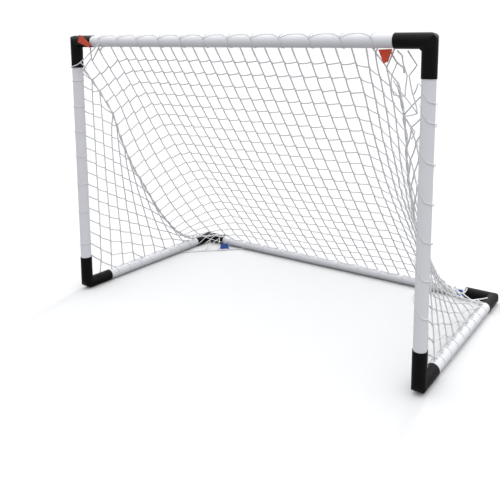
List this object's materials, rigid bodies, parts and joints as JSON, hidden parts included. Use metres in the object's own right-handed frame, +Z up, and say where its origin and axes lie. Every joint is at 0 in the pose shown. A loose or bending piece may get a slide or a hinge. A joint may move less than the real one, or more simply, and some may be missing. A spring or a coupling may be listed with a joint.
{
  "type": "mini goal",
  "caption": "Small free-standing goal: white tube frame with black push-fit corner elbows and a white cord net sloping from the crossbar to the rear ground bar.",
  "frame": {"origin": "middle of the footprint, on the floor", "axes": "+X along the crossbar to the right as seen from the mouth, +Y from the mouth to the rear bar, +Z up"},
  "size_m": [0.9206, 0.4919, 0.6313],
  "materials": {
    "tube_white": "smooth extruded white plastic with a soft sheen",
    "elbow_black": "moulded black plastic, satin gloss",
    "net_cord": "white braided synthetic net cord",
    "tag_orange": "orange woven tape, folded",
    "tag_blue": "blue woven tape, folded"
  },
  "bodies": {
    "root": {"left_post": "tube_white", "right_post": "tube_white", "crossbar": "tube_white", "left_base_tube": "tube_white", "right_base_tube": "tube_white", "rear_bar": "tube_white", "top_left_elbow": "elbow_black", "top_right_elbow": "elbow_black", "front_left_elbow": "elbow_black", "front_right_elbow": "elbow_black", "rear_left_elbow": "elbow_black", "rear_right_elbow": "elbow_black", "net_back": "net_cord", "net_left_side": "net_cord", "net_right_side": "net_cord", "left_seam_cord": "net_cord", "right_seam_cord": "net_cord", "crossbar_lacing": "net_cord", "left_post_lacing": "net_cord", "right_post_lacing": "net_cord", "left_base_lacing": "net_cord", "right_base_lacing": "net_cord", "rear_bar_lacing": "net_cord", "top_left_tag": "tag_orange", "top_right_tag": "tag_orange", "rear_left_tag": "tag_blue", "rear_right_tag": "tag_blue"}
  },
  "joints": []
}
